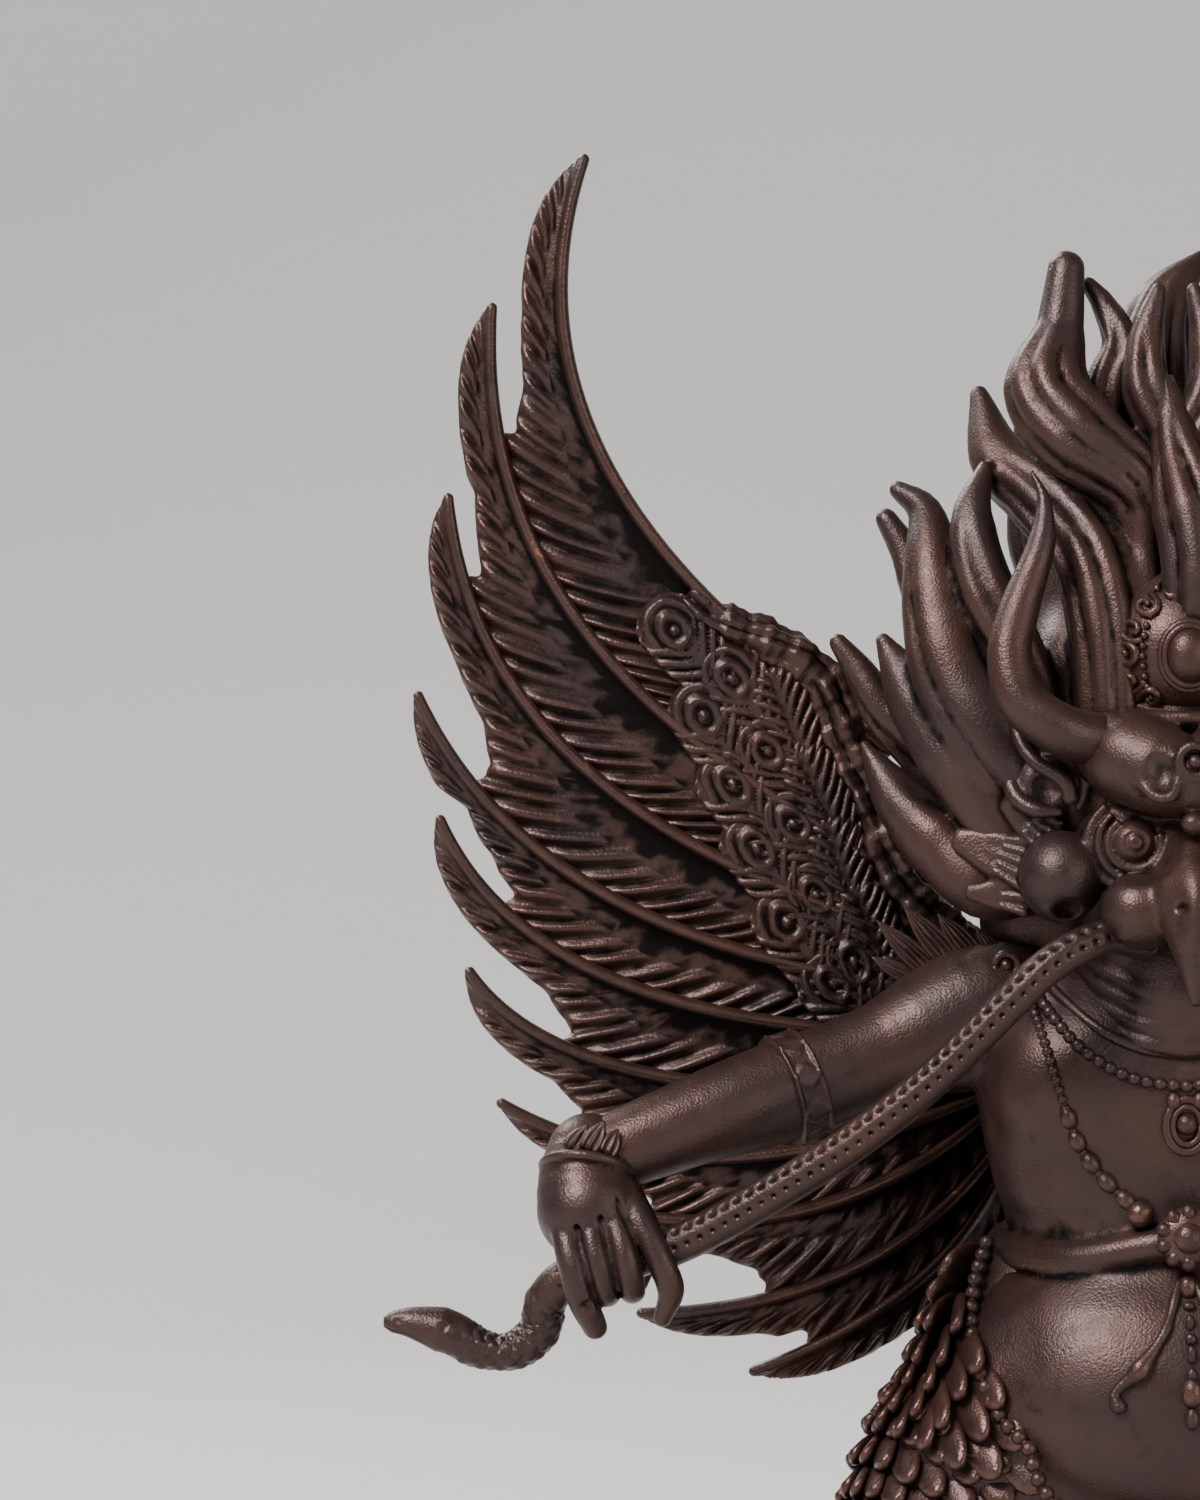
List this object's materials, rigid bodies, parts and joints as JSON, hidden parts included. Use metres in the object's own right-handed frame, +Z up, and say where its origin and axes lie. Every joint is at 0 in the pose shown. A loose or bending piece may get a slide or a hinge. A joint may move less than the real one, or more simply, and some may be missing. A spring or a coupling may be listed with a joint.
{
  "type": "garuda figure",
  "caption": "Small cast copper garuda with flame hair, horns and a hooked beak, arms out holding a bitten snake, spread feather wings at its back, standing on a low oval lotus plinth.",
  "frame": {"origin": "middle of the plinth's underside, where it stands on a table", "axes": "+Z up, the figure faces -Y, its right wing is on the -X side"},
  "size_m": [0.0988, 0.047, 0.1254],
  "materials": {
    "figure_copper": "dark red-brown oxidised copper, satin, redder where it is worn and black in the hollows",
    "wing_copper": "dark brown oxidised copper, satin to glossy on the barbs, bare copper at the feather tips",
    "plinth_copper": "dark brown oxidised copper, satin"
  },
  "bodies": {
    "root": {"figure": "figure_copper", "right_wing": "wing_copper", "left_wing": "wing_copper", "plinth": "plinth_copper"}
  },
  "joints": []
}
